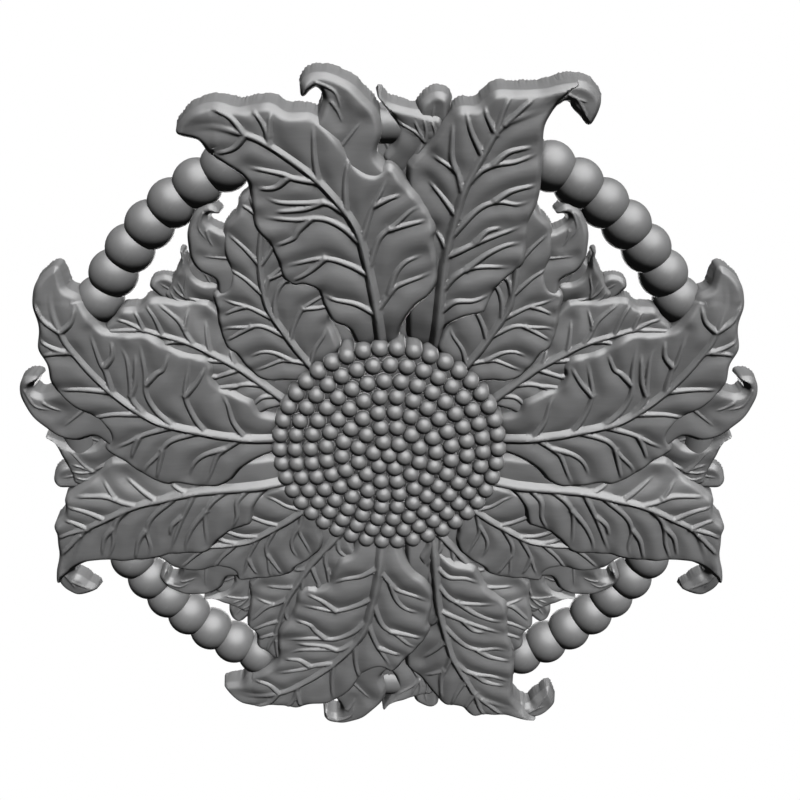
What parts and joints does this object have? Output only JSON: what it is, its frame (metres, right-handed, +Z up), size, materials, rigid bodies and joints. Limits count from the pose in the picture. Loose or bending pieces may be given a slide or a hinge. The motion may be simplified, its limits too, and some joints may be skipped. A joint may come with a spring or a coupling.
{
  "type": "carved wall rosette",
  "caption": "Round carved wall rosette of veined acanthus leaves crossing a beaded ring, around a domed seed head, with a flat back.",
  "frame": {"origin": "middle of the bead ring on the flat back, which rests on the wall", "axes": "+Z up on the wall, front faces -Y, +Y points into the wall"},
  "size_m": [0.4036, 0.034, 0.4056],
  "materials": {
    "painted_wood": "carved wood under a satin mid-grey paint"
  },
  "bodies": {
    "root": {"rosette": "painted_wood"}
  },
  "joints": []
}
